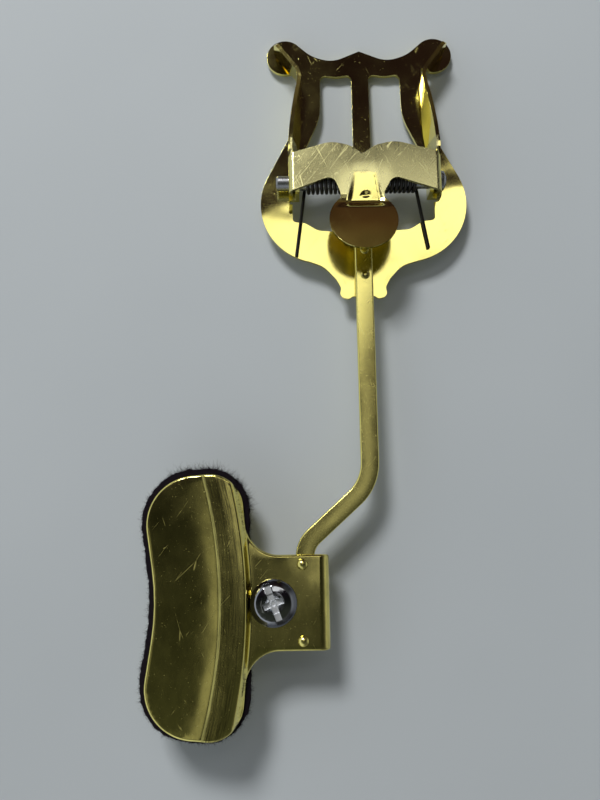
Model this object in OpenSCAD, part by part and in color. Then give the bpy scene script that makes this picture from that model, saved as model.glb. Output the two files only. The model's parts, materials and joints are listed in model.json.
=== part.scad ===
// Clamp-on music lyre for the bell of a marching brass instrument.
// It lies flat: +X across, +Y from the bell clamp towards the lyre head, +Z up, towards the front.
// The origin is the middle of the rim groove, on the mid-plane between the two jaws.

/* [Bell clamp] */
// Radius of the bell rim that the jaws follow
rim_r = 140; // [110:1:180]
// Thickness of the folded clamp sheet
clamp_sheet = 1.2; // [1:0.1:1.4]
// Clear height between the two leaves at the fold
leaf_gap = 3.4; // [3.3:0.1:3.8]
// Half height of the flat tab along Y
tab_half = 13.4; // [12.5:0.1:14.5]
// Half height of a jaw along Y
jaw_half = 37.4; // [33:0.1:40]
// Height of the jaw's outer face above the mid-plane
jaw_rise = 5.0; // [4.8:0.1:5.6]
// Thickness of each felt lining
felt_t = 2.4; // [1.5:0.1:2.4]
// How far the felt stands out past the metal edge
felt_proud = 2.0; // [0.5:0.1:2.5]

/* [Clamp screw and wing nut] */
// Distance of the screw axis from the rim groove
screw_x = 12; // [11.8:0.1:12.2]
// Diameter of the screw shank
screw_d = 6.2; // [5.6:0.1:6.2]
// Diameter of the truss head
head_d = 13.9; // [13:0.1:13.9]
// Height of the truss head
head_h = 3.6; // [3:0.1:4]
// Length of the screw under its head
screw_l = 16; // [14:0.5:18]
// Turn of the screw slot away from the stem direction
slot_turn = 20; // [0:1:90]
// Half span of the wing nut
wing_half = 14.4; // [12:0.1:15]
// Turn of the wings away from the stem direction
wing_turn = 25; // [0:1:30]

/* [Stem] */
// Width of the flat bar
stem_w = 5.4; // [4.6:0.1:5.6]
// Thickness of the flat bar
stem_t = 3.0; // [2.6:0.1:3.0]
// X of the stem under the lyre head
stem_top_x = 40.9; // [39:0.1:42]
// X of the stem inside the clamp
stem_low_x = 21.2; // [21:0.1:21.4]

/* [Lyre head] */
// X of the lyre's axis of symmetry
head_x = 41.6; // [40:0.1:43]
// Thickness of the lyre plate
plate_t = 1.2; // [1:0.1:1.5]
// Radius of the lower body of the lyre
body_r = 19.3; // [19:0.1:19.6]
// Radius of the round scroll on each horn
scroll_r = 5.95; // [5.5:0.05:6.2]

/* [Music clip] */
// Thickness of the clip sheet
clip_sheet = 1.2; // [1:0.1:1.3]
// Half width of the clip over its side flanges
clip_half = 23.5; // [23.4:0.1:23.8]
// Height of the clip's flat front face
clip_z = 8.0; // [7.9:0.1:8.4]
// Radius of the thumb disc
disc_r = 10.35; // [9.5:0.05:10.5]
// Sideways set of the thumb lever and spring
lever_set = -1.0; // [-1.2:0.1:0.5]

/* [Hinge pin and spring] */
// Y of the hinge pin
pin_y = 127.2; // [127:0.1:127.4]
// Height of the hinge pin's axis
pin_z = 2.8; // [2.7:0.1:2.9]
// Diameter of the hinge pin
pin_d = 4.6; // [4:0.1:4.6]
// Diameter of the spring wire
wire_d = 1.1; // [0.8:0.1:1.1]
// Full turns in each half of the spring
coil_turns = 9; // [6:1:9]

/* [Hidden] */

brass = "#cdb24a";
dark_brass = "#8d7a2c";
steel = "#b9bcc0";
dark_steel = "#4a4743";
felt_black = "#241b22";

run_gap = 0.05;
eps = 0.02;
fine = 96;

// Clamp
fold_x = 25.2;
leaf_in = leaf_gap / 2;
leaf_out = leaf_in + clamp_sheet;
bend_x = 5.4;
wall_top_x = 3.0;
groove_side_x = -2.7;
step_x = -3.3;
flat_x = -8;
crest_z = jaw_rise + 1.3;
jaw_mid_x = -21.2;
jaw_far_x = -26.6;
jaw_end_x = 2.6;
tab_root_x = 4.8;
seam_gap = 0.05;
screw_hole_r = screw_d / 2 + 0.075;
slot_hole_r = screw_d / 2 + 0.45;
rivet_x = 20.4;
rivet_y = 10.7;
rivet_shank_r = 1.0;

// Stem
stem_front = leaf_in;
stem_back = leaf_in - stem_t;
stem_top_y = 109;
stem_low_y = -13;
bend_hi_y = 33.8;
bend_lo_y = 16.2;

// Lyre plate
plate_front = stem_back;
plate_back = plate_front - plate_t;
neck_rivet_y = [105.6, 97.6];
neck_rivet_x = 41.2;
scroll_u = 24.1;
scroll_y = 172.7;
lug_out = 21.4;
lug_in = lug_out - plate_t;
lug_half = 3.9;
window_side = 22.4;

// Clip
flange_in = clip_half - clip_sheet;
clip_back = clip_z - clip_sheet;
lever_x = head_x + lever_set;
disc_y = 112.2;
lever_tilt = 19;
bend_y = 119.2;
bend_round = 12;
lever_from = 128.6;
lever_span = 12;
disc_oval = 1.06;
nose_rise = 0.5;
crease_y = bend_y - nose_rise / tan(lever_tilt);
lobe_r = 3.7;

// Pin and spring
pin_left = -27.4;
pin_head_u = clip_half + run_gap;
pin_head_r = 3.2;
pin_head_t = 2.0;
coil_r = pin_d / 2 + 0.2 + wire_d / 2;
coil_out = 17.4;
coil_in = 4.2;
coil_steps = 12;
wire_sides = 6;
bight_a = 90;
lever_leg = [[118, 5.85], [112, 7.6]];

function xy(p) = [p.x, p.y];

// Points of an arc about c, from angle a0 to angle a1
function arc(c, r, a0, a1, n = 12) =
    [for (i = [0:n]) let(a = a0 + (a1 - a0) * i / n) c + r * [cos(a), sin(a)]];

// The corner at p, between a and b, rounded with radius r
function corner(a, p, b, r) =
    r <= 0 ? [p] :
    let(
        u = (a - p) / norm(a - p),
        v = (b - p) / norm(b - p),
        half = acos(u * v) / 2,
        c = p + (u + v) / norm(u + v) * r / sin(half),
        t0 = p + u * r / tan(half) - c,
        t1 = p + v * r / tan(half) - c,
        a0 = atan2(t0.y, t0.x),
        turn = (atan2(t1.y, t1.x) - a0 + 540) % 360 - 180
    )
    arc(c, r, a0, a0 + turn, max(2, ceil(abs(turn) / 8)));

// A closed outline through corners written as [x, y, radius]
function rounded(pts) =
    let(n = len(pts))
    [for (i = [0:n - 1])
        each corner(xy(pts[(i + n - 1) % n]), xy(pts[i]), xy(pts[(i + 1) % n]), pts[i].z)];

// The same corners seen in a mirror across the Y axis or across the X axis, in reverse order
function flip_x(pts) = [for (i = [len(pts) - 1:-1:0]) [-pts[i].x, pts[i].y, pts[i].z]];
function flip_y(pts) = [for (i = [len(pts) - 1:-1:0]) [pts[i].x, -pts[i].y, pts[i].z]];

// One corner of a bar's side: the centre line's corner moved sideways by d
function side_point(a, p, b, d) =
    let(
        u = (p - a) / norm(p - a),
        v = (b - p) / norm(b - p),
        m = [-(u.y + v.y), u.x + v.x] / norm(u + v)
    )
    p + m * d / (m * [-u.y, u.x]);

// A solid swept through rings of points; each ring has the same number of points
module loft(rings) {
    n = len(rings[0]);
    last = len(rings) - 1;
    points = [for (ring = rings) each ring];
    sides = [for (k = [0:last - 1], i = [0:n - 1])
        let(j = (i + 1) % n)
        each [[k * n + i, k * n + j, (k + 1) * n + i],
              [k * n + j, (k + 1) * n + j, (k + 1) * n + i]]];
    ends = [[for (i = [n - 1:-1:0]) i], [for (i = [0:n - 1]) last * n + i]];
    polyhedron(points, concat(sides, ends), convexity = 8);
}

// ---------------------------------------------------------------- bell clamp

// Corners of one jaw and its tab, without the fold
jaw_corners = let(
    upper = [[fold_x, tab_half, 0], [tab_root_x, tab_half, 9.5], [jaw_end_x, jaw_half, 9.8],
             [jaw_far_x, jaw_half - 1.7, 14]])
    concat(upper, [[jaw_mid_x, 0, 66]], flip_y(upper));

// The felt's outline: the jaw alone, a little larger all round, least at the lower end
felt_corners = let(
    far = jaw_far_x - 0.8 * felt_proud,
    end = jaw_end_x + 0.6,
    top = jaw_half + felt_proud,
    foot = -jaw_half - 0.4 * felt_proud)
    [[end, top, 10], [far, top - 1.7, 15.5], [jaw_mid_x - 0.8 * felt_proud, 0, 64],
     [far, foot + 1.7, 15], [end, foot, 10]];

// Outer face of the jaw in section, from the tab to the far edge
jaw_face = [[fold_x + 1, leaf_out, 0], [bend_x, leaf_out, 0.8], [wall_top_x, crest_z - 0.3, 1.0],
            [0.2, crest_z, 6], [groove_side_x, crest_z - 0.4, 0.4], [step_x, jaw_rise + 0.5, 0.3],
            [flat_x, jaw_rise, 8], [-36, jaw_rise, 0]];

// A ring about the centre of the bell, cut from a section written as [x, z, radius]
module bell_ring(section, half_angle = 22) {
    translate([-rim_r, 0, 0])
        rotate([0, 0, -half_angle])
            rotate_extrude(angle = 2 * half_angle, $fn = 360)
                translate([rim_r, 0])
                    polygon(rounded(section));
}

module jaw_sheet() {
    under = [for (i = [len(jaw_face) - 1:-1:0])
        [jaw_face[i].x, jaw_face[i].y - clamp_sheet, jaw_face[i].z * 0.8]];
    bell_ring(concat(jaw_face, under));
}

// One leaf: the sheet's section cut to the jaw's outline
module leaf(end_x) {
    intersection() {
        jaw_sheet();
        linear_extrude(2 * crest_z, center = true)
            polygon(rounded(jaw_corners));
        translate([-60, -60, 0])
            cube([60 + end_x, 120, 2 * crest_z]);
    }
}

module fold() {
    translate([fold_x, 0, 0])
        rotate([90, 0, 0])
            difference() {
                cylinder(r = leaf_out, h = 2 * tab_half, center = true, $fn = fine);
                cylinder(r = leaf_in, h = 2 * tab_half + 1, center = true, $fn = fine);
                translate([-2 * leaf_out, -leaf_out - 1, -tab_half - 1])
                    cube([2 * leaf_out, 2 * leaf_out + 2, 2 * tab_half + 2]);
            }
}

module front_jaw() {
    color(brass)
        difference() {
            union() {
                leaf(fold_x);
                fold();
            }
            translate([screw_x, 0, 0])
                cylinder(r = screw_hole_r, h = leaf_out + 1, $fn = fine);
            for (side = [-1, 1])
                translate([rivet_x, side * rivet_y, 0])
                    cylinder(r = rivet_shank_r, h = leaf_out + 1, $fn = fine);
        }
}

module rear_jaw() {
    color(brass)
        mirror([0, 0, 1])
            difference() {
                leaf(fold_x - seam_gap);
                translate([screw_x, 0, 0])
                    cylinder(r = slot_hole_r, h = leaf_out + 1, $fn = fine);
            }
}

// A felt pad that fills the jaw's hollow down to its own flat face
module felt_pad() {
    felt_back = jaw_rise - clamp_sheet - eps;
    felt_end = wall_top_x + 0.7;
    intersection() {
        bell_ring([[-42, felt_back - felt_t, 0], [felt_end, felt_back - felt_t, 0.4],
                   [felt_end, felt_back, 0.4], [-42, felt_back, 0]]);
        linear_extrude(2 * crest_z, center = true)
            polygon(rounded(felt_corners));
    }
}

module front_felt() {
    color(felt_black)
        felt_pad();
}

module rear_felt() {
    color(felt_black)
        mirror([0, 0, 1])
            felt_pad();
}

module tab_rivet(side) {
    color(brass)
        translate([rivet_x, side * rivet_y, 0]) {
            translate([0, 0, stem_back])
                cylinder(r = rivet_shank_r, h = leaf_out - stem_back, $fn = fine);
            translate([0, 0, leaf_out])
                dome(1.6, 0.8);
        }
}

module tab_rivet_upper() { tab_rivet(1); }
module tab_rivet_lower() { tab_rivet(-1); }

// A low dome with base radius r and height h, cut from a ball
module dome(r, h) {
    ball_r = (r * r + h * h) / (2 * h);
    intersection() {
        translate([0, 0, h - ball_r])
            sphere(r = ball_r, $fn = fine);
        cylinder(r = r + 1, h = h + 1, $fn = fine);
    }
}

// ---------------------------------------------------------------- screw and nut

module clamp_screw() {
    top = leaf_out + head_h;
    r = head_d / 2;
    color(steel)
        translate([screw_x, 0, 0])
            difference() {
                union() {
                    rotate_extrude($fn = fine)
                        polygon(rounded([[0, leaf_out, 0], [r - 1.0, leaf_out, 0.2],
                                         [r, leaf_out + 1.3, 0.5], [r - 1.8, top - 0.55, 1.2],
                                         [r - 3.6, top - 0.1, 3], [0, top, 0]]));
                    translate([0, 0, leaf_out - screw_l + 0.7])
                        cylinder(d = screw_d, h = screw_l, $fn = fine);
                    translate([0, 0, leaf_out - screw_l])
                        cylinder(d1 = screw_d - 1.4, d2 = screw_d, h = 0.7 + eps, $fn = fine);
                }
                recess(top);
            }
}

// Combination recess: a slot across the head and a cross in the middle
module recess(top) {
    slot_w = 1.8;
    rotate([0, 0, slot_turn]) {
        translate([-slot_w / 2, -head_d, top - 1.35])
            cube([slot_w, 2 * head_d, 3]);
        translate([-2.9, -slot_w / 2, top - 1.9])
            cube([5.8, slot_w, 3]);
        translate([-slot_w / 2, -2.9, top - 1.9])
            cube([slot_w, 5.8, 3]);
        translate([0, 0, top - 2.6])
            cylinder(r1 = 0.6, r2 = 2.4, h = 2.7, $fn = fine);
    }
}

module wing_nut() {
    seat = -leaf_out;
    base_h = 6;
    wing_t = 2.4;
    wing = [[3.6, seat - 1.2, 0], [5.6, seat - 1.4, 1], [wing_half - 1.2, seat - 2.2, 2.4],
            [wing_half, seat - 8.6, 2.4], [6.4, seat - 7.6, 3], [3.2, seat - 5.0, 1]];
    color(steel)
        translate([screw_x, 0, 0])
            difference() {
                union() {
                    translate([0, 0, seat - base_h])
                        cylinder(r = 4.5, h = base_h, $fn = fine);
                    rotate([0, 0, wing_turn])
                        rotate([90, 0, 90])
                            linear_extrude(wing_t, center = true)
                                polygon(rounded(concat(wing, flip_x(wing))));
                }
                cylinder(r = screw_d / 2 + run_gap, h = 60, center = true, $fn = fine);
            }
}

// ---------------------------------------------------------------- stem

module stem() {
    line = [[stem_top_x, stem_top_y], [stem_top_x, bend_hi_y],
            [stem_low_x, bend_lo_y], [stem_low_x, stem_low_y]];
    bend_r = [0, 14, 8, 0];
    ahead = line[0] + [0, 1];
    past = line[3] - [0, 1];
    path = concat([ahead], line, [past]);
    left = [for (i = [1:4]) each [concat(
        side_point(path[i - 1], path[i], path[i + 1], -stem_w / 2),
        [bend_r[i - 1] + (i == 2 ? -1 : 1) * stem_w / 2 * (bend_r[i - 1] > 0 ? 1 : 0)])]];
    right = [for (i = [4:-1:1]) each [concat(
        side_point(path[i - 1], path[i], path[i + 1], stem_w / 2),
        [bend_r[i - 1] + (i == 2 ? 1 : -1) * stem_w / 2 * (bend_r[i - 1] > 0 ? 1 : 0)])]];
    color(brass)
        difference() {
            translate([0, 0, stem_back])
                linear_extrude(stem_t)
                    polygon(rounded(concat(left, right)));
            for (y = neck_rivet_y)
                translate([neck_rivet_x, y, stem_back - 1])
                    cylinder(r = rivet_shank_r, h = stem_t + 2, $fn = fine);
            for (side = [-1, 1])
                translate([rivet_x, side * rivet_y, stem_back - 1])
                    cylinder(r = rivet_shank_r, h = stem_t + 2, $fn = fine);
        }
}

module neck_rivet(y) {
    color(dark_brass)
        translate([neck_rivet_x, y, 0]) {
            translate([0, 0, plate_back])
                cylinder(r = rivet_shank_r, h = stem_front - plate_back, $fn = fine);
            translate([0, 0, stem_front])
                dome(1.4, 0.4);
            translate([0, 0, plate_back])
                mirror([0, 0, 1])
                    dome(1.5, 0.5);
        }
}

module neck_rivet_upper() { neck_rivet(neck_rivet_y[0]); }
module neck_rivet_lower() { neck_rivet(neck_rivet_y[1]); }

// ---------------------------------------------------------------- lyre plate

// Right half of the lyre's edge, from the centre peak down to the foot, as [u, y, radius]
horn_edge = [[0, 174.6, 0], [8.8, 170.9, 9], [15.6, 173.0, 12], [21.4, 178.3, 4],
             [24.6, 178.2, 0], [24.1, 172.7, 0], [19.9, 167.6, 1.2], [21.6, 147.6, 14]];
foot_edge = [[8.4, 97.2, 4], [6.9, 94.4, 2], [7.6, 91.5, 1.7], [4.6, 90.8, 1.2], [3.4, 91.6, 0]];
foot_set = -0.8;

body_c = [13.2, 121.9];
shoulder_a = 27;

// The right half of the edge; the neck and feet are set sideways by foot_shift
function half_edge(foot_shift) = concat(
    horn_edge,
    [for (p = arc(body_c, body_r, shoulder_a, -78, 20)) [p.x, p.y, 0]],
    [[12.2 + foot_shift, 101.4, 8]],
    [for (p = foot_edge) [p.x + foot_shift, p.y, p.z]]);

window_edge = [[2.8, 166.3, 1.6], [7.8, 165.5, 9], [12.9, 166.3, 1.8], [13.1, 151.5, 18],
               [window_side, 131, 14], [window_side, 116.2, 1.2], [18.6, 115.8, 3],
               [14.4, 113.2, 5], [2.8, 112.4, 1.2]];

module lug(side) {
    wall_x = side > 0 ? lug_in : -lug_out;
    shelf_x = side > 0 ? lug_in : -window_side - 0.3;
    translate([wall_x, pin_y - lug_half, plate_back])
        cube([plate_t, 2 * lug_half, pin_z - plate_back]);
    translate([wall_x, pin_y, pin_z])
        rotate([0, 90, 0])
            cylinder(r = lug_half, h = plate_t, $fn = fine);
    translate([shelf_x, pin_y - lug_half, plate_back])
        cube([window_side + 0.3 - lug_in, 2 * lug_half, plate_t]);
}

// Small round notches where the lugs bend up out of the plate
module lug_notches() {
    for (side = [-1, 1], end = [-1, 1])
        translate([side * (window_side + 0.4), pin_y + end * (lug_half + 0.6)])
            circle(r = 0.6, $fn = 24);
}

module lyre_plate() {
    left = flip_x(half_edge(-foot_set));
    whole = concat(half_edge(foot_set), [for (i = [0:len(left) - 2]) left[i]]);
    color(brass)
        translate([head_x, 0, 0])
            difference() {
                union() {
                    translate([0, 0, plate_back])
                        linear_extrude(plate_t)
                            difference() {
                                union() {
                                    polygon(rounded(whole));
                                    for (side = [-1, 1])
                                        translate([side * scroll_u, scroll_y])
                                            circle(r = scroll_r, $fn = fine);
                                }
                                polygon(rounded(window_edge));
                                polygon(rounded(flip_x(window_edge)));
                                lug_notches();
                            }
                    lug(1);
                    lug(-1);
                }
                translate([-30, pin_y, pin_z])
                    rotate([0, 90, 0])
                        cylinder(d = pin_d, h = 60, $fn = fine);
                for (y = neck_rivet_y)
                    translate([neck_rivet_x - head_x, y, plate_back - 1])
                        cylinder(r = rivet_shank_r, h = plate_t + 2, $fn = fine);
            }
}

// ---------------------------------------------------------------- music clip

// Front outline of the band and the lever's neck, as [u, y, radius]
band_right = [[-0.6, 134.3, 0.8], [3.6, 137.1, 6], [9.5, 138.4, 10], [clip_half + 1, 134.2, 0],
              [clip_half + 1, 121.6, 0], [8.6, 127.0, 2.6], [lever_set + 6.6, 121.6, 3],
              [lever_set + 7.4, 116, 0]];
band_left = [[lever_set - 7.4, 116, 0], [lever_set - 6.6, 121.6, 3], [-9.8, 127.4, 2.6],
             [-clip_half - 1, 121.9, 0], [-clip_half - 1, 134.3, 0], [-10.2, 138.5, 10],
             [-4.6, 137.1, 6]];

nose = [[-5.4, crease_y - 1, 0.8], [5.4, crease_y - 1, 0.8], [3.5, 128.4, 1.5], [-3.5, 128.4, 1.5]];

// Side of a flange seen along X, as [y, z, radius]
flange_side = [[122.6, 9.5, 0], [122.6, 5, 2], [pin_y - lobe_r, pin_z, 0], [pin_y, pin_z - lobe_r, 0],
               [139, -0.6, 0], [139, 9.5, 0]];

module extrude_x(x0, x1) {
    translate([x0, 0, 0])
        rotate([90, 0, 90])
            linear_extrude(x1 - x0)
                children();
}

// Band, bends and flanges as one channel, cut to the front and side outlines
module clip_channel() {
    foot = -2;
    channel = [[-clip_half, foot, 0], [-clip_half, clip_z, 1.7], [clip_half, clip_z, 1.7],
               [clip_half, foot, 0], [flange_in, foot, 0], [flange_in, clip_back, 0.5],
               [-flange_in, clip_back, 0.5], [-flange_in, foot, 0]];
    difference() {
        intersection() {
            translate([0, 140, 0])
                rotate([90, 0, 0])
                    linear_extrude(25)
                        polygon(rounded(channel));
            union() {
                translate([0, 0, clip_back - 0.6])
                    linear_extrude(4)
                        polygon(rounded(concat(band_right, band_left)));
                for (x = [-clip_half - 1, flange_in - 0.01])
                    extrude_x(x, x + clip_sheet + 1.01)
                        union() {
                            polygon(rounded(flange_side));
                            translate([pin_y, pin_z])
                                circle(r = lobe_r, $fn = fine);
                        }
            }
        }
        translate([lever_set - lever_span, 100, 0])
            cube([2 * lever_span, lever_from - 100 - 0.1, 20]);
    }
}

// The neck and the thumb disc in plan; the disc is a little longer than it is wide
module lever_plan() {
    polygon(rounded(concat(band_right, band_left)));
    translate([lever_set, disc_y])
        scale([1, disc_oval * cos(lever_tilt)])
            circle(r = disc_r, $fn = fine);
}

// The sheet bends up from the band to the thumb disc
module lever_sheet() {
    run = [-cos(lever_tilt), sin(lever_tilt)];
    far = [bend_y, clip_z] + 24 * run;
    face = [[lever_from, clip_z, 0], [bend_y, clip_z, bend_round], [far.x, far.y, 0]];
    down = clip_sheet / cos(lever_tilt);
    back = [[far.x, far.y - down, 0],
            [bend_y + (down - clip_sheet) / tan(lever_tilt), clip_back, bend_round + clip_sheet],
            [lever_from, clip_back, 0]];
    intersection() {
        extrude_x(lever_set - lever_span, lever_set + lever_span)
            polygon(rounded(concat(face, back)));
        linear_extrude(30)
            lever_plan();
    }
}

// A level pad pressed up across the bend; inset moves its outline inwards
module nose_block(low, high, inset) {
    outline = [for (p = nose)
        [p.x - sign(p.x) * inset, p.y - (p.y > bend_y ? inset : 0), p.z]];
    translate([lever_set, 0, low])
        linear_extrude(high - low)
            polygon(rounded(outline));
}

module lever() {
    difference() {
        union() {
            lever_sheet();
            nose_block(clip_back + 0.2, clip_z + nose_rise, 0);
        }
        nose_block(clip_back - 2, clip_back + nose_rise, 1);
    }
}

// Stations of an arm: [outer u, y, low z, high z, lean]
arm_stations = [
    [23.45, 134.0, -0.6, 7.4, 0.0], [23.45, 136.5, -0.6, 7.9, 0.9], [23.4, 139.0, -0.5, 8.0, 1.9],
    [23.0, 144.0, -0.4, 7.8, 2.2], [22.3, 149.5, -0.2, 7.5, 1.8], [21.4, 155.0, 0.0, 7.0, 0.9],
    [20.5, 159.5, 0.2, 6.6, 0.2], [20.2, 161.8, 0.2, 6.4, 0.0], [20.9, 164.0, 0.0, 6.3, 0.0],
    [23.4, 167.4, -0.4, 6.2, 0.0], [26.3, 171.3, -0.8, 6.1, 0.0], [27.1, 172.4, -0.7, 5.8, 0.0],
    [27.6, 173.1, 0.2, 4.8, 0.0]];

module arm(side) {
    n = len(arm_stations);
    place = [for (s = arm_stations) [s.x, s.y]];
    rings = [for (i = [0:n - 1])
        let(
            s = arm_stations[i],
            t = place[min(i + 1, n - 1)] - place[max(i - 1, 0)],
            inward = [-t.y, t.x] / norm(t) * clip_sheet,
            lean = [-s[4], 0],
            outer = place[i])
        [[outer.x, outer.y, s[3]], [outer.x + inward.x, outer.y + inward.y, s[3]],
         [outer.x + inward.x + lean.x, outer.y + inward.y, s[2]], [outer.x + lean.x, outer.y, s[2]]]];
    if (side > 0)
        loft(rings);
    else
        mirror([1, 0, 0])
            loft(rings);
}

module front_clip() {
    color(brass)
        translate([head_x, 0, 0])
            difference() {
                union() {
                    clip_channel();
                    lever();
                    arm(1);
                    arm(-1);
                }
                translate([-30, pin_y, pin_z])
                    rotate([0, 90, 0])
                        cylinder(r = pin_d / 2 + run_gap, h = 60, $fn = fine);
            }
}

// ---------------------------------------------------------------- pin and spring

module hinge_pin() {
    chamfer = 0.5;
    color(steel)
        translate([head_x, pin_y, pin_z])
            rotate([0, 90, 0]) {
                translate([0, 0, pin_left + chamfer])
                    cylinder(d = pin_d, h = pin_head_u - pin_left - chamfer + eps, $fn = fine);
                translate([0, 0, pin_left])
                    cylinder(d1 = pin_d - 2 * chamfer, d2 = pin_d, h = chamfer + eps, $fn = fine);
                translate([0, 0, pin_head_u])
                    rotate_extrude($fn = fine)
                        polygon(rounded([[0, 0, 0], [pin_head_r, 0, 0.2], [pin_head_r - 0.2, 1.1, 0.5],
                                         [1.6, pin_head_t - 0.1, 1.5], [0, pin_head_t, 0]]));
            }
}

// Centre line of one half of the spring: leg on the plate, coil round the pin, arm under the lever
function half_spring(side, leg_end) =
    let(
        steps = round((coil_turns + (bight_a + 90) / 360) * coil_steps),
        coil = [for (i = [0:steps])
            let(a = -90 + i * (coil_turns * 360 + bight_a + 90) / steps,
                u = coil_out + (coil_in - coil_out) * i / steps)
            [side * u, pin_y + coil_r * cos(a), pin_z + coil_r * sin(a)]],
        off = coil[steps])
    concat(
        [[leg_end.x, leg_end.y, plate_front + wire_d / 2 + 0.05]],
        coil,
        [for (p = lever_leg) [off.x, p.x, p.y]]);

function reversed(list) = [for (i = [len(list) - 1:-1:0]) list[i]];

module torsion_spring() {
    left = half_spring(-1, [-20.4 - lever_set, 104.8]);
    right = half_spring(1, [20.8 - lever_set, 106.7]);
    path = concat(left, reversed(right));
    n = len(path);
    rings = [for (i = [0:n - 1])
        let(
            t = path[min(i + 1, n - 1)] - path[max(i - 1, 0)],
            w = t / norm(t),
            near = abs(w.x) < 0.9 ? [1, 0, 0] : [0, 0, 1],
            p = cross(w, near) / norm(cross(w, near)),
            q = cross(w, p))
        [for (k = [0:wire_sides - 1])
            let(a = -360 * k / wire_sides)
            path[i] + wire_d / 2 * (cos(a) * p + sin(a) * q)]];
    color(dark_steel)
        translate([lever_x, 0, 0])
            loft(rings);
}

lyre_plate();
front_clip();
hinge_pin();
torsion_spring();
neck_rivet_upper();
neck_rivet_lower();
stem();
front_jaw();
rear_jaw();
front_felt();
rear_felt();
tab_rivet_upper();
tab_rivet_lower();
clamp_screw();
wing_nut();
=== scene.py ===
"""Looks of a clamp-on marching lyre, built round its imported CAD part. Metres, in the part's own frame."""

import json
import math
import random

import bmesh
import bpy
from mathutils import Matrix, Vector
from mathutils.geometry import delaunay_2d_cdt
from mathutils.noise import noise as noise_at

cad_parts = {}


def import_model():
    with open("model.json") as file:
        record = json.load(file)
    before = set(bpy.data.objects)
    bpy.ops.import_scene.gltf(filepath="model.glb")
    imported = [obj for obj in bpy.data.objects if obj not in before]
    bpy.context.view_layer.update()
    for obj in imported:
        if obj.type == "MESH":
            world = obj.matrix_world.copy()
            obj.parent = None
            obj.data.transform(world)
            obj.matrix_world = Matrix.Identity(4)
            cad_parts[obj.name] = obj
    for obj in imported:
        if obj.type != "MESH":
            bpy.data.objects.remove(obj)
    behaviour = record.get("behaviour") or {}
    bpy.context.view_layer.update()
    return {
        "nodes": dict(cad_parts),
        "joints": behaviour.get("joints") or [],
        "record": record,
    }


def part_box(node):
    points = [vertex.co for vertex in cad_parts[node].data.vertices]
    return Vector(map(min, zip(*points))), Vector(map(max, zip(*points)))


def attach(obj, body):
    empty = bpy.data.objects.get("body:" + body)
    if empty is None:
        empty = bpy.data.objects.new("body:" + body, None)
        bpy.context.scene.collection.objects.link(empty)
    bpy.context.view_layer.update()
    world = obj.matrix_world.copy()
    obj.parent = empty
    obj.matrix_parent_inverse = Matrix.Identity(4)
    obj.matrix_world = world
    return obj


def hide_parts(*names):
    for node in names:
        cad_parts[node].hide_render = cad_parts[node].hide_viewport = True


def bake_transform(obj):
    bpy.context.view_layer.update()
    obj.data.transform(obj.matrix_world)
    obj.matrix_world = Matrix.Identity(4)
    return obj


MM = 0.001

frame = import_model()


# ---------------------------------------------------------------- driving dimensions, in millimetres

def pivot(joint):
    """The point that a joint turns about."""
    found = next(j for j in frame["joints"] if j["name"] == joint)
    return [round(c / MM, 3) for c in found["pos_m"]]


HEAD_X, PIN_Y, PIN_Z = pivot("clip_pivot")
SCREW_X = pivot("screw_turn")[0]
FOLD_X = pivot("jaw_close")[0]

# Clamp sheet: rim groove's radius, thickness, and half the outer thickness of the fold
RIM_R = 140.0
SHEET = 1.2
LEAF = 2.9
# Gap between the two leaves at the seam of the fold
SEAM = 0.05

# Thumb disc
DISC_X, DISC_Y, DISC_R = 40.6, 112.2, 10.35

# Flat bar
STEM_LINE = [(40.9, 109, 0), (40.9, 33.8, 14), (21.2, 16.2, 8), (21.2, -13, 0)]
STEM_W, STEM_T = 5.4, 3.0

# Felt lining
FELT_T = 2.4

# Spring: wire, coil, how far the coil reaches from the middle, and the middle itself
WIRE_R = 0.55
COIL_R = 3.05
COIL_TURNS = 9.5
COIL_OUT, COIL_IN = 17.4, 4.2
SPRING_X = 40.6


# ---------------------------------------------------------------- node helpers

def new_material(name):
    mat = bpy.data.materials.new(name)
    mat.use_nodes = True
    tree = mat.node_tree
    tree.nodes.clear()
    out = tree.nodes.new("ShaderNodeOutputMaterial")
    shader = tree.nodes.new("ShaderNodeBsdfPrincipled")
    tree.links.new(shader.outputs["BSDF"], out.inputs["Surface"])
    return mat, tree, shader


def add(tree, kind, **values):
    """A node with its properties and input defaults set; inputs are given as in_NAME."""
    node = tree.nodes.new(kind)
    for key, value in values.items():
        if key.startswith("in_"):
            node.inputs[key[3:].replace("_", " ")].default_value = value
        else:
            setattr(node, key, value)
    return node


def plug(tree, value, socket):
    """Sets a socket to a number or a colour, or links it to another socket."""
    if isinstance(value, (int, float)):
        socket.default_value = value
    elif isinstance(value, tuple):
        socket.default_value = (*value, 1)
    else:
        tree.links.new(value, socket)


def mapped(tree, scale, turn=0):
    """Object coordinates in millimetres, turned about Z by degrees and then scaled."""
    coord = add(tree, "ShaderNodeTexCoord")
    turned = add(tree, "ShaderNodeMapping", in_Rotation=(0, 0, math.radians(turn)))
    scales = scale if isinstance(scale, tuple) else (scale,) * 3
    sized = add(tree, "ShaderNodeMapping", in_Scale=tuple(s / MM for s in scales))
    tree.links.new(coord.outputs["Object"], turned.inputs["Vector"])
    tree.links.new(turned.outputs["Vector"], sized.inputs["Vector"])
    return sized.outputs["Vector"]


def axes_mm(tree):
    split = add(tree, "ShaderNodeSeparateXYZ")
    tree.links.new(mapped(tree, 1), split.inputs[0])
    return [split.outputs[i] for i in range(3)]


def noise(tree, vector, detail=3.0, rough=0.55, scale=1.0):
    node = add(tree, "ShaderNodeTexNoise", in_Scale=scale, in_Detail=detail, in_Roughness=rough)
    tree.links.new(vector, node.inputs["Vector"])
    return node.outputs["Fac"]


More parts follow.
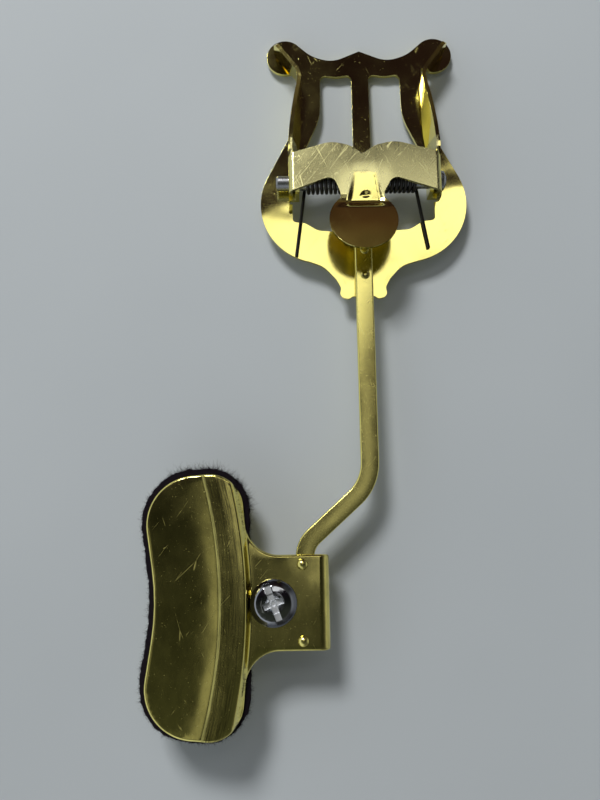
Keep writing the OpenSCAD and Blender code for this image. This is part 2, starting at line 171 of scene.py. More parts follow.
def ramp(tree, value, stops):
    """A colour ramp with stops given as (position, grey or colour)."""
    node = add(tree, "ShaderNodeValToRGB")
    elements = node.color_ramp.elements
    while len(elements) < len(stops):
        elements.new(0.5)
    for element, (at, level) in zip(elements, stops):
        element.position = at
        rgb = (level,) * 3 if isinstance(level, (int, float)) else level
        element.color = (*rgb, 1)
    tree.links.new(value, node.inputs["Fac"])
    return node.outputs["Color"]


def maths(tree, operation, *values, clamp=False):
    node = add(tree, "ShaderNodeMath", operation=operation, use_clamp=clamp)
    for value, socket in zip(values, node.inputs):
        plug(tree, value, socket)
    return node.outputs[0]


def mix(tree, factor, a, b, blend="MIX"):
    node = add(tree, "ShaderNodeMix", data_type="RGBA", blend_type=blend)
    for value, index in ((factor, 0), (a, 6), (b, 7)):
        plug(tree, value, node.inputs[index])
    return node.outputs[2]


def times(tree, a, b):
    """The product of two colours."""
    return mix(tree, 1.0, a, b, "MULTIPLY")


def away_from(tree, x0):
    """Distance from the point (x0, 0) along the sheet, in millimetres."""
    x, y, _ = axes_mm(tree)
    across = maths(tree, "SUBTRACT", x, x0)
    square = maths(tree, "ADD", maths(tree, "MULTIPLY", across, across), maths(tree, "MULTIPLY", y, y))
    return maths(tree, "SQRT", square)


# ---------------------------------------------------------------- masks and marks

def scratches(tree, spacing, turn, share):
    """Thin straight scratches: the edges of long cells, kept only here and there."""
    width, length = 0.05, 12.0
    across = 1 / spacing
    along = across / length
    cells = add(tree, "ShaderNodeTexVoronoi", feature="DISTANCE_TO_EDGE", in_Scale=1.0)
    tree.links.new(mapped(tree, (across, along, along), turn), cells.inputs["Vector"])
    line = ramp(tree, cells.outputs["Distance"], [(0.0, 1.0), (width / spacing, 0.0)])
    spots = noise(tree, mapped(tree, (0.35, 0.12, 0.35), turn), detail=2.0)
    keep = ramp(tree, spots, [(0.62 - 0.2 * share, 0.0), (0.70 - 0.2 * share, 1.0)])
    return maths(tree, "MULTIPLY", line, keep)


def wear_marks(tree, marks, specks):
    """Scratches that cross each other, and small specks."""
    lines = maths(tree, "MAXIMUM", scratches(tree, 3.1, 38, marks), scratches(tree, 4.3, -24, marks))
    least = 0.80 - 0.12 * specks
    dots = ramp(tree, noise(tree, mapped(tree, 2.6), detail=1.0), [(least, 0.0), (least + 0.03, 1.0)])
    return maths(tree, "MAXIMUM", lines, dots)


def lower_plate(tree):
    """The lower part of the lyre, round the stem, which is worn softer than the bars above."""
    _, y, _ = axes_mm(tree)
    return ramp(tree, maths(tree, "MULTIPLY", y, 0.005), [(0.52, 1.0), (0.61, 0.0)])


def band_mask(tree):
    """The flat band of the clip between its two flanges, clear of the nose and the thumb disc."""
    half_width, disc_top, nose_top, arms_y = 22.9, 118, 127.2, 140.0
    x, y, _ = axes_mm(tree)
    side = maths(tree, "ABSOLUTE", maths(tree, "SUBTRACT", x, HEAD_X))
    within = maths(tree, "LESS_THAN", side, half_width)
    over_disc = maths(tree, "MULTIPLY_ADD", y, 0.25, -0.25 * disc_top, clamp=True)
    flare = maths(tree, "MULTIPLY_ADD", y, 0.17, side)
    beside_nose = maths(tree, "SUBTRACT", flare, 2.4 + 0.17 * 129)
    over_nose = maths(tree, "SUBTRACT", y, nose_top)
    clear = maths(tree, "MULTIPLY", maths(tree, "MAXIMUM", beside_nose, over_nose), 0.8, clamp=True)
    area = maths(tree, "MULTIPLY", maths(tree, "MULTIPLY", within, over_disc), clear)
    return maths(tree, "MULTIPLY", area, maths(tree, "LESS_THAN", y, arms_y))


def rim_scuffs(tree):
    """Long scuffs that run along the rim groove of the jaw, and the area they lie in."""
    _, y, _ = axes_mm(tree)
    section = maths(tree, "SUBTRACT", away_from(tree, -RIM_R), RIM_R)
    line = add(tree, "ShaderNodeCombineXYZ")
    tree.links.new(maths(tree, "MULTIPLY", section, 3.2), line.inputs[0])
    tree.links.new(maths(tree, "MULTIPLY", y, 0.10), line.inputs[1])
    grain = noise(tree, line.outputs[0], detail=4.0, rough=0.7)
    spread = maths(tree, "MULTIPLY_ADD", section, 0.05, 0.5)
    area = ramp(tree, spread, [(0.33, 0.0), (0.36, 1.0), (0.62, 1.0), (0.66, 0.0)])
    return grain, area


def stained(tree, grain, area):
    """How much the scuffs and the stains between them darken the brass."""
    tone = mix(tree, area, (1.0, 1.0, 1.0), ramp(tree, grain, [(0.36, 0.30), (0.60, 1.0)]))
    clouds = noise(tree, mapped(tree, (0.22, 0.10, 0.22)), detail=5.0, rough=0.65)
    return times(tree, tone, ramp(tree, clouds, [(0.38, 0.74), (0.58, 1.0)]))


def relief(tree, height, wave):
    """Shader normal of the fine marks, on a sheet that is slightly wavy."""
    marks = add(tree, "ShaderNodeBump", in_Strength=0.3, in_Distance=0.01 * MM)
    tree.links.new(height, marks.inputs["Height"])
    if wave:
        swell = add(tree, "ShaderNodeBump", in_Strength=1.0, in_Distance=wave * MM)
        tree.links.new(noise(tree, mapped(tree, 0.07), detail=1.0), swell.inputs["Height"])
        tree.links.new(swell.outputs["Normal"], marks.inputs["Normal"])
    return marks.outputs["Normal"]


# ---------------------------------------------------------------- materials

BRASS = (0.87, 0.775, 0.245)
BRASS_FILM = (0.62, 0.58, 0.28)


def brass(name, polish, haze, wear, marks=0.5, specks=0.5, wave=0.0, soft=None, film=None, scuffs=None):
    """Lacquered brass: mirror-like, hazed in patches, with fine scratches and bright specks.
    soft and film build masks from 0 to 1 over the piece, and scuffs builds a grain and its area."""
    mat, tree, shader = new_material(name)
    shader.inputs["Metallic"].default_value = 1.0
    shader.inputs["Base Color"].default_value = (*BRASS, 1)
    patches = ramp(tree, noise(tree, mapped(tree, 0.09), detail=4.0), [(0.35, 0.0), (0.7, 1.0)])
    rough = maths(tree, "MULTIPLY_ADD", patches, haze, polish)
    worn = wear_marks(tree, marks, specks)
    if soft:
        rough = maths(tree, "MULTIPLY_ADD", soft(tree), 0.07, rough)
    if film:
        dull = film(tree)
        tree.links.new(mix(tree, dull, BRASS, BRASS_FILM), shader.inputs["Base Color"])
        rough = maths(tree, "MULTIPLY_ADD", dull, 0.12, rough)
        worn = maths(tree, "MULTIPLY", worn, ramp(tree, dull, [(0.0, 0.25), (1.0, 1.0)]))
    height = worn
    if scuffs:
        grain, area = scuffs(tree)
        height = maths(tree, "MULTIPLY_ADD", maths(tree, "MULTIPLY", grain, area), 8.0, worn)
        rough = maths(tree, "MULTIPLY_ADD", area, 0.07, rough)
        tree.links.new(times(tree, BRASS, stained(tree, grain, area)), shader.inputs["Base Color"])
    tree.links.new(maths(tree, "MULTIPLY_ADD", worn, wear, rough), shader.inputs["Roughness"])
    tree.links.new(relief(tree, height, wave), shader.inputs["Normal"])
    return mat


def metal(name, colour, rough):
    mat, tree, shader = new_material(name)
    shader.inputs["Metallic"].default_value = 1.0
    shader.inputs["Base Color"].default_value = (*colour, 1)
    spots = noise(tree, mapped(tree, 0.9), detail=4.0)
    tree.links.new(maths(tree, "MULTIPLY_ADD", spots, 0.15, rough), shader.inputs["Roughness"])
    return mat


def head_metal(name):
    """Zinc plate: a dark mirror on top, darker still on its sloping edge, which is painted shade, and pale
    and matt in the slots, the pale being a painted highlight.
    """
    slot_r, flank_r, floor_z = 4.9, 5.0, 5.4
    mat, tree, shader = new_material(name)
    shader.inputs["Metallic"].default_value = 1.0
    _, _, z = axes_mm(tree)
    away = away_from(tree, SCREW_X)
    outside = maths(tree, "MAXIMUM", maths(tree, "SUBTRACT", z, floor_z),
                    maths(tree, "SUBTRACT", away, slot_r))
    top = ramp(tree, maths(tree, "MULTIPLY", outside, 2.5), [(0.0, 0.0), (1.0, 1.0)])
    shade_on_flank = maths(tree, "SUBTRACT", away, flank_r, clamp=True)
    # Painted shade: the sloping edge of the head is given a darker zinc colour.
    face = mix(tree, shade_on_flank, (0.34, 0.35, 0.37), (0.17, 0.175, 0.20))
    # Painted highlight: the slots are given a pale zinc colour; only their mattness is real.
    tree.links.new(mix(tree, top, (0.80, 0.82, 0.84), face), shader.inputs["Base Color"])
    spots = noise(tree, mapped(tree, 0.9), detail=4.0)
    smoothest = ramp(tree, top, [(0.0, 0.42), (1.0, 0.04)])
    tree.links.new(maths(tree, "MULTIPLY_ADD", spots, 0.12, smoothest), shader.inputs["Roughness"])
    return mat


def cloth(name, colour):
    mat, tree, shader = new_material(name)
    tone = noise(tree, mapped(tree, 1.2), detail=5.0)
    tree.links.new(mix(tree, tone, colour, tuple(c * 2.2 for c in colour)), shader.inputs["Base Color"])
    shader.inputs["Roughness"].default_value = 0.95
    shader.inputs["Sheen Weight"].default_value = 0.04
    shader.inputs["Specular IOR Level"].default_value = 0.08
    return mat


MATS = {
    "plate": brass("brass_plate", polish=0.05, haze=0.05, wear=0.2, marks=0.1, specks=0.4,
                   wave=0.22, soft=lower_plate),
    "clip": brass("brass_clip", polish=0.06, haze=0.06, wear=0.25, marks=0.7, specks=0.9,
                  film=band_mask),
    "jaw": brass("brass_jaw", polish=0.10, haze=0.08, wear=0.3, marks=0.1, specks=0.5,
                 wave=0.12, scuffs=rim_scuffs),
    "stem": brass("brass_stem", polish=0.18, haze=0.10, wear=0.2, marks=0.15, specks=0.7, wave=0.05),
    "rivet": brass("brass_rivet", polish=0.15, haze=0.1, wear=0.3),
    "zinc": metal("zinc", (0.55, 0.57, 0.60), 0.12),
    "head": head_metal("zinc_head"),
    "pin": metal("pin_steel", (0.36, 0.37, 0.38), 0.20),
    "spring": metal("spring_steel", (0.045, 0.042, 0.040), 0.28),
    "felt": cloth("felt", (0.006, 0.004, 0.006)),
    "fuzz": cloth("fuzz", (0.009, 0.006, 0.008)),
}


# ---------------------------------------------------------------- outlines, in millimetres

def rounded(corners, closed=True, step=5.0):
    """Points through corners written as (x, y, radius), with arcs of that radius."""
    points = []
    count = len(corners)
    for i, (x, y, r) in enumerate(corners):
        if r <= 0 or (not closed and i in (0, count - 1)):
            points.append((x, y))
            continue
        p = Vector((x, y))
        u = (Vector(corners[i - 1][:2]) - p).normalized()
        v = (Vector(corners[(i + 1) % count][:2]) - p).normalized()
        half = u.angle(v) / 2
        centre = p + (u + v).normalized() * r / math.sin(half)
        start = p + u * r / math.tan(half) - centre
        turn = (v * r / math.tan(half) + p - centre).angle_signed(start)
        n = max(2, math.ceil(abs(math.degrees(turn)) / step))
        for k in range(n + 1):
            q = start.copy()
            q.rotate(Matrix.Rotation(turn * k / n, 2))
            points.append(tuple(centre + q))
    return points


def resampled(loop, spacing):
    """The closed loop again with points at most spacing apart."""
    out = []
    for i, p in enumerate(loop):
        q = loop[(i + 1) % len(loop)]
        n = max(1, math.ceil(math.dist(p, q) / spacing))
        out += [(p[0] + (q[0] - p[0]) * k / n, p[1] + (q[1] - p[1]) * k / n) for k in range(n)]
    return out


def inward(loop):
    """Unit vectors that point into a counter-clockwise loop, one for each point."""
    out = []
    for i in range(len(loop)):
        t = Vector(loop[(i + 1) % len(loop)]) - Vector(loop[i - 1])
        out.append(Vector((-t.y, t.x)).normalized())
    return out


def shrunk(loop, into, inset):
    """The loop moved inwards by inset."""
    return [(p[0] + w.x * inset, p[1] + w.y * inset) for p, w in zip(loop, into)]


def inside(x, y, loop):
    hit = False
    for i in range(len(loop)):
        (x0, y0), (x1, y1) = loop[i - 1], loop[i]
        if (y0 > y) != (y1 > y) and x < (x1 - x0) * (y - y0) / (y1 - y0) + x0:
            hit = not hit
    return hit


def flip_y(corners):
    return [(x, -y, r) for x, y, r in reversed(corners)]


def ease(t):
    """0 below 0, 1 above 1 and an S curve between."""
    t = min(1.0, max(0.0, t))
    return t * t * (3 - 2 * t)


# ---------------------------------------------------------------- meshes

def finished(bm, name):
    mesh = bpy.data.meshes.new(name)
    bm.to_mesh(mesh)
    bm.free()
    mesh.polygons.foreach_set("use_smooth", [True] * len(mesh.polygons))
    obj = bpy.data.objects.new(name, mesh)
    bpy.context.scene.collection.objects.link(obj)
    return obj


def skin(bm, rings):
    """Faces between each ring of vertices and the next. They face outwards if the rings turn
    counter-clockwise as seen from the last one."""
    for upper, lower in zip(rings, rings[1:]):
        for i in range(len(upper)):
            j = (i + 1) % len(upper)
            bm.faces.new((upper[i], upper[j], lower[j], lower[i]))


def edge_rings(thickness, front_round, back_round):
    """(inset, depth) of the loops round a sheet's edge, from its front to its back. The last loop
    lies under the first, so that both faces are filled alike."""
    steps = 5
    arc = [math.pi / 2 * k / steps for k in range(steps + 1)]
    front = [(front_round * (1 - math.cos(a)), front_round * (1 - math.sin(a))) for a in arc]
    back = [(back_round * (1 - math.cos(a)), thickness - back_round * (1 - math.sin(a))) for a in arc]
    return front[::-1] + back + [(front_round, thickness)]


def circle(x, y, r, count=48):
    return [(x + r * math.cos(math.tau * k / count), y + r * math.sin(math.tau * k / count))
            for k in range(count)]


def triangles(edge, ring, fill):
    """Triangles between the outline edge and the hole ring, through the points of fill. Also gives
    all their points, and for each point its place in edge + ring + fill, or -1."""
    count = len(edge)
    borders = [(i, (i + 1) % count) for i in range(count)]
    borders += [(count + i, count + (i + 1) % len(ring)) for i in range(len(ring))]
    made = delaunay_2d_cdt([Vector(q) for q in edge + ring + fill], borders, [], 0, 1e-5)
    points, faces, sources = made[0], made[2], made[3]
    kept = []
    for face in faces:
        u = sum(points[i].x for i in face) / 3
        v = sum(points[i].y for i in face) / 3
        if inside(u, v, edge) and not (ring and inside(u, v, ring)):
            kept.append(face)
    return points, kept, [old[0] if old else -1 for old in sources]


def sheet_mesh(name, outline, fill, place, thickness, front_round, back_round, hole=None):
    """A closed sheet with rounded edges. place(u, v, depth) puts a point of the flat sheet in space;
    fill is a list of points inside the outline, and hole is (u, v, radius)."""
    bm = bmesh.new()
    into = inward(outline)

    def vertex(u, v, depth):
        return bm.verts.new([c * MM for c in place(u, v, depth)])

    loops = [[vertex(u, v, depth) for u, v in shrunk(outline, into, inset)]
             for inset, depth in edge_rings(thickness, front_round, back_round)]
    skin(bm, loops)
    ring = circle(*hole) if hole else []
    if hole:
        fill = [q for q in fill if math.dist(q, hole[:2]) > hole[2] + 0.1]
    points, faces, sources = triangles(shrunk(outline, into, front_round), ring, fill)
    sides = []
    for depth, loop in ((0.0, loops[0]), (thickness, loops[-1])):
        sides.append([loop[old] if 0 <= old < len(loop) else vertex(q.x, q.y, depth)
                      for q, old in zip(points, sources)])
    front, back = sides
    for face in faces:
        bm.faces.new([front[i] for i in face])
        bm.faces.new([back[i] for i in reversed(face)])
    if hole:
        rim = [sources.index(len(outline) + i) for i in range(len(ring))]
        skin(bm, [[front[i] for i in rim], [back[i] for i in rim]])
    bmesh.ops.recalc_face_normals(bm, faces=bm.faces)
    loose = [v for v in bm.verts if not v.link_faces]
    bmesh.ops.delete(bm, geom=loose, context="VERTS")
    return finished(bm, name)


# ---------------------------------------------------------------- pieces that stand for CAD nodes

def body_of(node):
    for body, nodes in frame["record"]["behaviour"]["bodies"].items():
        if node in nodes:
            return body
    raise ValueError(node)


def stands_for(obj, node, material):
    obj.data.materials.clear()
    obj.data.materials.append(MATS[material])
    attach(obj, body_of(node))
    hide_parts(node)
    return obj


def cad_copy(node, edge, segments):
    """The CAD mesh with its facets merged and its sharp edges rounded."""
    bm = bmesh.new()
    bm.from_mesh(frame["nodes"][node].data)
    bmesh.ops.remove_doubles(bm, verts=bm.verts, dist=0.002 * MM)
    bmesh.ops.dissolve_limit(bm, angle_limit=math.radians(0.6), verts=bm.verts, edges=bm.edges)
    if edge:
        keen = [e for e in bm.edges if e.is_manifold and e.calc_face_angle(0) > math.radians(30)]
        bmesh.ops.bevel(bm, geom=keen, offset=edge * MM, offset_type="OFFSET", segments=segments,
                        profile=0.5, affect="EDGES", clamp_overlap=True)
    return bm


def cad_look(bm, node, material):
    """The finished piece, with normals that keep flat faces flat beside their rounded edges."""
    obj = finished(bm, node + "_look")
    weight = obj.modifiers.new("weight", "WEIGHTED_NORMAL")
    weight.keep_sharp = True
    return stands_for(obj, node, material)


def polished(node, material, edge, segments=2):
    return cad_look(cad_copy(node, edge, segments), node, material)


# ---- clip

def front_clip():
    """The CAD clip with the pressed nose between the band and the thumb disc."""
    bm = cad_copy("front_clip", 0.35, 3)

    def near():
        return [f for f in bm.faces if f.calc_center_median().z > 6 * MM and all(
            abs(v.co.x / MM - HEAD_X) < 23 and 95 < v.co.y / MM < 142 for v in f.verts)]

    bmesh.ops.triangulate(bm, faces=near())
    low_y, high_y, reach, step = 101.5, 133.2, 11.2, 0.4
    cuts = [((0, low_y + step * k, 0), (0, 1, 0)) for k in range(int((high_y - low_y) / step) + 1)]
    cuts += [((HEAD_X - reach + step * k, 0, 0), (1, 0, 0)) for k in range(int(2 * reach / step) + 1)]
    for co, no in cuts:
        faces = near()
        geom = list({v for f in faces for v in f.verts} | {e for f in faces for e in f.edges}) + faces
        bmesh.ops.bisect_plane(bm, geom=geom, plane_co=Vector(co) * MM, plane_no=no, dist=1e-7)
    bmesh.ops.triangulate(bm, faces=near())
    for v in bm.verts:
        x, y, z = v.co / MM
        v.co.z += nose_lift(x - HEAD_X, y) * MM
        if z > 5:
            v.co.z += disc_lift(x, y) * MM
    return cad_look(bm, "front_clip", "clip")


def disc_lift(x, y):
    """How far the thumb disc is domed, below its neck."""
    neck_y = 118.5
    if y >= neck_y:
        return 0.0
    out = math.hypot(x - DISC_X, y - DISC_Y) / DISC_R
    return 0.28 * (1 - out ** 2) * ease((neck_y - y) / 2.5)


def nose_lift(u, y):
    """How far the sheet is pressed to form the nose below the band, in millimetres."""
    half = 2.5 + 1.7 * min(1.0, max(0.0, (129.0 - y) / 9.0))
    across = 1 - ease((abs(u) - half) / 1.6)
    run, bend = max(0.0, 132.5 - y), 5.5
    fall = run ** 2 / (2 * bend) if run < bend else run - bend / 2
    fall *= -ease((y - 116.4) / 2.8) / 10.5
    dimple = max(0.0, 1 - math.hypot(u, y - 120.4) / 1.7) * ease((y - 119.9) / 0.8)
    return fall * (0.40 * (1 - ease((abs(u) - 5.5) / 5)) + 0.38 * across) - 0.22 * dimple


# ---- clamp jaws

TAB_HALF = 13.4
JAW_UPPER = [(4.8, TAB_HALF, 9.5), (2.6, 37.4, 9.8), (-26.6, 35.7, 14)]
JAW_WAIST = (-21.2, 0, 66)
# Height of the outer face against the distance from the rim groove
JAW_SECTION = [(27, LEAF, 0), (5.4, LEAF, 0.8), (4.3, 6.0, 0.9), (0.6, 6.2, 6), (-2.6, 6.0, 0.6),
               (-3.5, 5.68, 0.8), (-8.5, 5.0, 60), (-45, 5.0, 0)]
section_line = sorted(rounded(JAW_SECTION, closed=False, step=8))


def from_groove(u, v):
    return math.hypot(u + RIM_R, v) - RIM_R


def jaw_height(section):
    for (x0, z0), (x1, z1) in zip(section_line, section_line[1:]):
        if section <= x1:
            return z0 + (z1 - z0) * max(0.0, section - x0) / max(x1 - x0, 1e-9)
    return section_line[-1][1]


def on_leaf(u, v, depth):
    """u runs along the folded sheet, from the jaw's far edge to the fold and round it."""
    if u <= FOLD_X:
        return (u, v, jaw_height(from_groove(u, v)) - depth)
    a = (u - FOLD_X) / LEAF
    return (FOLD_X + (LEAF - depth) * math.sin(a), v, (LEAF - depth) * math.cos(a))


def groove_points():
    """Points along arcs that follow the rim groove, closest where the section bends."""
    lines = sorted({round(x, 3) for x, _ in section_line if -13 < x < 6.2}
                   | {-26.0 + k for k in range(14)} | {-2.0 + 0.7 * k for k in range(9)})
    points = []
    for section in lines:
        r = RIM_R + section
        for k in range(65):
            a = math.radians(-17 + 34 * k / 64)
            points.append((r * math.cos(a) - RIM_R, r * math.sin(a)))
    return points


def tab_points(u_end):
    """Points on the tab, in rows across it that are close together round the fold."""
    points = []
    u = 7.0
    while u < u_end - 0.4:
        points += [(u, -12 + 2.0 * k) for k in range(13)]
        u += 2.0 if u < FOLD_X - 2.2 else 0.3
    return points


def jaw(node, u_end, side, hole_r):
    """One leaf of the clamp sheet. side is 1 for the front and -1 for the rear."""
    upper = [(u_end, TAB_HALF, 0.3)] + JAW_UPPER
    outline = resampled(rounded(upper + [JAW_WAIST] + flip_y(upper)), 0.4)
    front_round, back_round = 0.7, 0.25
    keep = shrunk(outline, inward(outline), front_round + 0.25)
    fill = [q for q in groove_points() + tab_points(u_end) if inside(*q, keep)]

    def place(u, v, depth):
        x, y, z = on_leaf(u, v, depth)
        return (x, y, side * z)

    obj = sheet_mesh(node + "_look", outline, fill, place, SHEET, front_round, back_round,
                     (SCREW_X, 0, hole_r))
    return stands_for(obj, node, "jaw")


# ---- stem

def stem():
    """The flat bar with its two bends, with rounded long edges."""
    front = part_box("stem")[1].z / MM
    line = [Vector(p) for p in rounded(STEM_LINE, closed=False)]
    left, right = [], []
    for i, p in enumerate(line):
        t = (line[min(i + 1, len(line) - 1)] - line[max(i - 1, 0)]).normalized()
        side = Vector((-t.y, t.x)) * STEM_W / 2
        left.append(tuple(p + side))
        right.append(tuple(p - side))
    # The line runs down, so its left side read upwards and then its right one go round counter-clockwise
    outline = resampled(left[::-1] + right, 1.0)
    obj = sheet_mesh("stem_look", outline, [], lambda u, v, d: (u, v, front - d), STEM_T, 0.5, 0.4)
    return stands_for(obj, "stem", "stem")


# ---- felts

FELT_OUTLINE = [(5.0, 39.2, 12), (-28.2, 37.7, 15.5), (-22.8, 0, 64), (-28.2, -36.5, 15), (5.2, -38.0, 12)]
FIBRES = 6500


def felt_place(node, side):
    """A function that puts a point of the flat felt in space. The felt lies under the jaw's sheet
    and is pinched where the sheet comes down."""
    back = max(abs(corner.z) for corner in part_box(node)) / MM

    def place(u, v, depth):
        roof = jaw_height(from_groove(u, v)) - SHEET - 0.05
        z = back - depth
        if z > roof:
            z = roof - 0.02 * depth
        return (u, v, side * max(z, back - FELT_T))

    return place


def felt(node, side, seed):
    """A felt pad with an uneven soft edge, and loose fibres that stand out of it."""
    random.seed(seed)
    place = felt_place(node, side)
    outline = resampled(rounded(FELT_OUTLINE), 0.35)
    into = inward(outline)
    rough = []
    for p, w in zip(outline, into):
        wave = noise_at(Vector((p[0] * 0.45, p[1] * 0.45, seed))) * 0.35
        wave += noise_at(Vector((p[0] * 1.7, p[1] * 1.7, seed))) * 0.25
        rough.append((p[0] - w.x * wave, p[1] - w.y * wave))
    keep = shrunk(rough, into, 0.9)
    fill = [q for q in groove_points() if inside(*q, keep)]
    pad = sheet_mesh(node + "_look", rough, fill, place, FELT_T, 0.5, 0.4)
    stands_for(pad, node, "felt")
    fuzz(node, side, place, rough, into)


def fuzz(node, side, place, rough, into):
    """Loose fibres that lean out of the felt's edge, longest at its upper end."""
    bm = bmesh.new()
    for _ in range(FIBRES):
        i = random.randrange(len(rough))
        p, w = rough[i], into[i]
        top = p[1] > 26 and p[0] > -18
        reach = random.expovariate(1 / (0.85 if top else 0.42)) + 0.2
        reach = min(reach, 3.6 if top else 1.9)
        start = Vector(place(p[0] + w.x * 0.2, p[1] + w.y * 0.2, random.uniform(0.1, FELT_T - 0.8)))
        way = Vector((-w.x, -w.y, side * abs(random.gauss(0, 0.35))))
        way += Vector((random.gauss(0, 0.8), random.gauss(0, 0.8), 0))
        strand(bm, start, way.normalized(), reach, random.uniform(0.022, 0.045))
    obj = finished(bm, node + "_fuzz")
    obj.data.materials.append(MATS["fuzz"])
    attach(obj, body_of(node))


def strand(bm, start, way, length, radius):
    """A thin curly fibre of three-sided section."""
    at, rings = start, []
    for k in range(5):
        side = way.orthogonal().normalized()
        other = way.cross(side)
        r = radius * (1 - 0.2 * k)
        rings.append([bm.verts.new((at + side * r * math.cos(a) + other * r * math.sin(a)) * MM)
                      for a in (0, 2.1, 4.2)])
        at = at + way * length / 4
        way = (way + Vector([random.gauss(0, 0.28) for _ in range(3)])).normalized()
    skin(bm, rings)


# ---- spring

def tube(name, path, radius, sides=10):
    bm = bmesh.new()
    rings = []
    for i, p in enumerate(path):
        t = (path[min(i + 1, len(path) - 1)] - path[max(i - 1, 0)]).normalized()
        near = Vector((1, 0, 0)) if abs(t.x) < 0.9 else Vector((0, 0, 1))
        a = t.cross(near).normalized()
        b = t.cross(a)
        rings.append([bm.verts.new((p + (a * math.cos(w) + b * math.sin(w)) * radius) * MM)
                      for w in [math.tau * k / sides for k in range(sides)]])
    skin(bm, rings)
    for ring in (rings[0], rings[-1]):
        bm.faces.new(ring)
    bmesh.ops.recalc_face_normals(bm, faces=bm.faces)
    return finished(bm, name)


def half_spring(name, side, leg_x, leg_y):
    """One half of the spring. It runs from the plate, where its leg ends at leg_x and leg_y,
    round its coil to the neck of the clip."""
    plate_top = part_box("stem")[0].z / MM
    steps = int(COIL_TURNS * 32)
    path = [Vector((leg_x, leg_y, plate_top + WIRE_R + 0.05))]
    for i in range(steps + 1):
        a = math.radians(-90 + 360 * COIL_TURNS * i / steps)
        u = COIL_OUT + (COIL_IN - COIL_OUT) * i / steps
        path.append(Vector((SPRING_X + side * u, PIN_Y + COIL_R * math.cos(a),
                            PIN_Z + COIL_R * math.sin(a))))
    inner = SPRING_X + side * COIL_IN
    path += [Vector((inner, 118, 5.85)), Vector((inner, 112, 7.6)), Vector((SPRING_X, 111.5, 7.75))]
    obj = tube(name, path, WIRE_R)
    obj.data.materials.append(MATS["spring"])
    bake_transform(obj)
    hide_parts("torsion_spring")


# ---- screw

THREAD_TOP = 1.6
PITCH, CREST_R, ROOT_R = 1.27, 3.1, 2.55


def thread_r(z, share, low):
    """Radius of the thread at height z and a share of a turn. It runs out in a cone at the tip."""
    phase = (z / PITCH + share) % 1.0
    r = ROOT_R + (CREST_R - ROOT_R) * min(1.0, max(0.0, 1.6 - 3.2 * abs(phase - 0.5)))
    return min(r, CREST_R - 0.9 + max(0.0, z - low) * 1.2)


def clamp_screw():
    """The CAD head with a threaded shank in place of the plain one."""
    bm = cad_copy("clamp_screw", 0.1, 2)
    bmesh.ops.bisect_plane(bm, geom=bm.verts[:] + bm.edges[:] + bm.faces[:],
                           plane_co=(0, 0, THREAD_TOP * MM), plane_no=(0, 0, -1), clear_outer=True)
    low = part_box("clamp_screw")[0].z / MM
    around = 40
    rows = int((THREAD_TOP - low) / PITCH * 10)
    rings = []
    for k in range(rows + 1):
        z = THREAD_TOP - (THREAD_TOP - low) * k / rows
        ring = []
        for i in range(around):
            a = math.tau * i / around
            r = thread_r(z, i / around, low)
            ring.append(bm.verts.new(((SCREW_X + r * math.cos(a)) * MM, r * math.sin(a) * MM, z * MM)))
        rings.append(ring)
    skin(bm, rings[::-1])
    bm.faces.new(reversed(rings[-1]))
    return cad_look(bm, "clamp_screw", "head")


# ---------------------------------------------------------------- the object

polished("lyre_plate", "plate", 0.28, 3)
front_clip()
stem()
jaw("front_jaw", FOLD_X + math.pi * LEAF, 1, 3.175)
jaw("rear_jaw", FOLD_X - SEAM, -1, 3.55)
clamp_screw()
polished("wing_nut", "zinc", 0.3, 3)
polished("hinge_pin", "pin", 0.1)
for rivet in ("tab_rivet_upper", "tab_rivet_lower", "neck_rivet_upper", "neck_rivet_lower"):
    polished(rivet, "rivet", 0)
felt("front_felt", 1, 3)
felt("rear_felt", -1, 8)
half_spring("spring_left", -1, 20.2, 104.8)
half_spring("spring_right", 1, 61.4, 106.7)


# ---------------------------------------------------------------- stage

FLOOR_TILT = 3.2
FLOOR_Z = -13.3
FLOOR_HALF = 3.0


def floor():
    """A pale, faintly clouded floor. It slopes, because the object lies on its screw and its lyre."""
    mesh = bpy.data.meshes.new("floor")
    h = FLOOR_HALF
    mesh.from_pydata([(-h, -h, 0), (h, -h, 0), (h, h, 0), (-h, h, 0)], [], [(0, 1, 2, 3)])
    obj = bpy.data.objects.new("floor", mesh)
    bpy.context.scene.collection.objects.link(obj)
    obj.rotation_euler = (math.radians(FLOOR_TILT), 0, 0)
    obj.location = (0, 0, FLOOR_Z * MM)
    mat, tree, shader = new_material("floor")
    cloud = noise(tree, mapped(tree, 0.006))
    shade = ramp(tree, cloud, [(0.3, (0.545, 0.585, 0.605)), (0.7, (0.585, 0.625, 0.645))])
    tree.links.new(shade, shader.inputs["Base Color"])
    shader.inputs["Roughness"].default_value = 0.6
    shader.inputs["Specular IOR Level"].default_value = 0.3
    mesh.materials.append(mat)


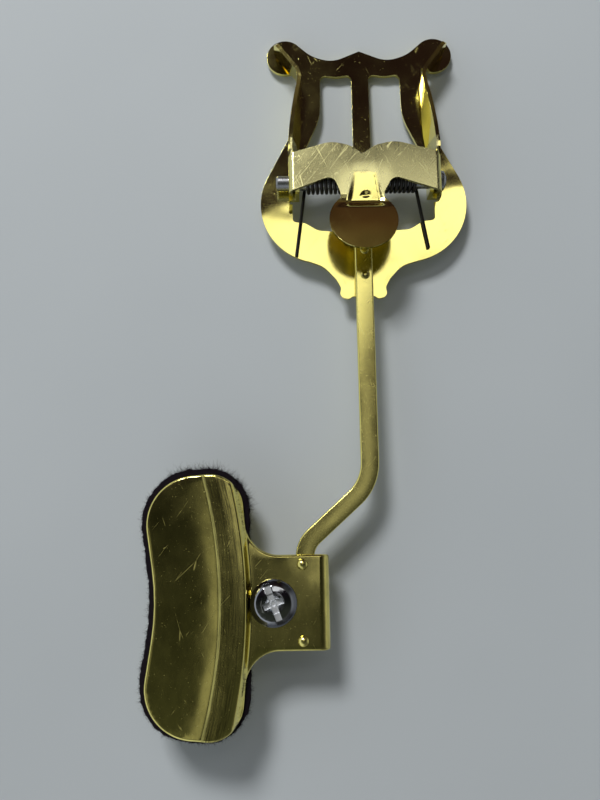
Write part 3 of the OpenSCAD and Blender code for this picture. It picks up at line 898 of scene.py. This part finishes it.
def world():
    """A dim room: dark overhead and on the far side, pale low down all round."""
    room = bpy.data.worlds.new("room")
    bpy.context.scene.world = room
    room.use_nodes = True
    tree = room.node_tree
    tree.nodes.clear()
    out = add(tree, "ShaderNodeOutputWorld")
    back = add(tree, "ShaderNodeBackground", in_Strength=1.0)
    way = add(tree, "ShaderNodeTexCoord").outputs["Generated"]
    split = add(tree, "ShaderNodeSeparateXYZ")
    tree.links.new(way, split.inputs[0])
    x, y, z = (split.outputs[i] for i in range(3))

    ahead = ramp(tree, maths(tree, "ABSOLUTE", x), [(0.40, 1.0), (0.62, 0.0)])
    far = maths(tree, "MULTIPLY", ramp(tree, y, [(0.42, 0.0), (0.58, 1.0)]), ahead)
    walls = ramp(tree, maths(tree, "MULTIPLY_ADD", x, 0.5, 0.5),
                 [(0.35, (0.66, 0.70, 0.74)), (0.62, (0.12, 0.125, 0.12)),
                  (0.90, (0.08, 0.08, 0.075)), (0.98, (0.40, 0.42, 0.42))])
    far_wall = ramp(tree, z, [(0.30, (0.030, 0.016, 0.018)), (0.50, (0.062, 0.034, 0.028)),
                              (0.64, (0.170, 0.130, 0.090))])
    ceiling = ramp(tree, maths(tree, "MULTIPLY_ADD", y, 0.5, 0.5),
                   [(0.36, (0.050, 0.055, 0.040)), (0.45, (0.026, 0.028, 0.022)),
                    (0.52, (0.012, 0.013, 0.011)), (0.62, (0.011, 0.007, 0.011)),
                    (0.80, (0.019, 0.010, 0.016))])
    up = ramp(tree, z, [(0.62, 0.0), (0.82, 1.0)])
    patches = ramp(tree, noise(tree, way, detail=2.0, scale=5.0), [(0.35, 0.45), (0.65, 1.0)])
    colour = mix(tree, up, mix(tree, far, walls, far_wall), ceiling)
    uneven = times(tree, colour, mix(tree, far, (1.0, 1.0, 1.0), patches))
    tree.links.new(uneven, back.inputs["Color"])
    tree.links.new(back.outputs[0], out.inputs["Surface"])


def lamp(name, at, size, power, aim=None, turn=(0, 0, 0), colour=(1, 1, 1)):
    """An area lamp that points at aim, or else straight down and then turned by degrees."""
    data = bpy.data.lights.new(name, "AREA")
    data.shape = "RECTANGLE"
    data.size, data.size_y = size
    data.energy = power
    data.color = colour
    obj = bpy.data.objects.new(name, data)
    bpy.context.scene.collection.objects.link(obj)
    obj.location = at
    if aim:
        obj.rotation_euler = (Vector(aim) - Vector(at)).to_track_quat("-Z", "Y").to_euler()
    else:
        obj.rotation_euler = [math.radians(a) for a in turn]


def lights():
    """One key lamp, and dim panels that are there to be mirrored. Each panel lies where one level
    surface of brass mirrors it, and its radiance is its power over pi times its area."""
    lamp("strip", (0.16, 0.54, 1.2), (0.70, 0.20), 0.72, turn=(-18, 0, 12), colour=(1.0, 0.99, 0.96))
    lamp("key", (-0.48, 1.20, 1.42), (0.50, 0.42), 21.5, aim=(0.02, 0.08, 0))
    lamp("side", (-0.47, -0.24, 1.2), (0.15, 0.52), 0.062, colour=(1.0, 1.0, 0.9))
    lamp("stem", (0.11, 0.10, 1.2), (0.18, 0.30), 0.068)
    lamp("tab", (0.00, -0.10, 1.2), (0.16, 0.16), 0.003)


CAMERA_AT = (20.46, 19.02, 237.7)
CAMERA_AIM = (20.5, 59.13, 0)
CAMERA_ROLL = -0.9


def camera():
    """Close above the lower half of the object, and tilted towards the lyre head."""
    data = bpy.data.cameras.new("camera")
    data.lens = 36
    data.sensor_width = 36
    data.clip_start = 0.01
    obj = bpy.data.objects.new("camera", data)
    bpy.context.scene.collection.objects.link(obj)
    at = Vector(CAMERA_AT) * MM
    look = (Vector(CAMERA_AIM) * MM - at).to_track_quat("-Z", "Y").to_matrix()
    roll = Matrix.Rotation(math.radians(CAMERA_ROLL), 3, "Z")
    obj.matrix_world = Matrix.Translation(at) @ (look @ roll).to_4x4()
    bpy.context.scene.camera = obj


floor()
world()
lights()
camera()
bpy.context.scene.view_settings.view_transform = "Standard"
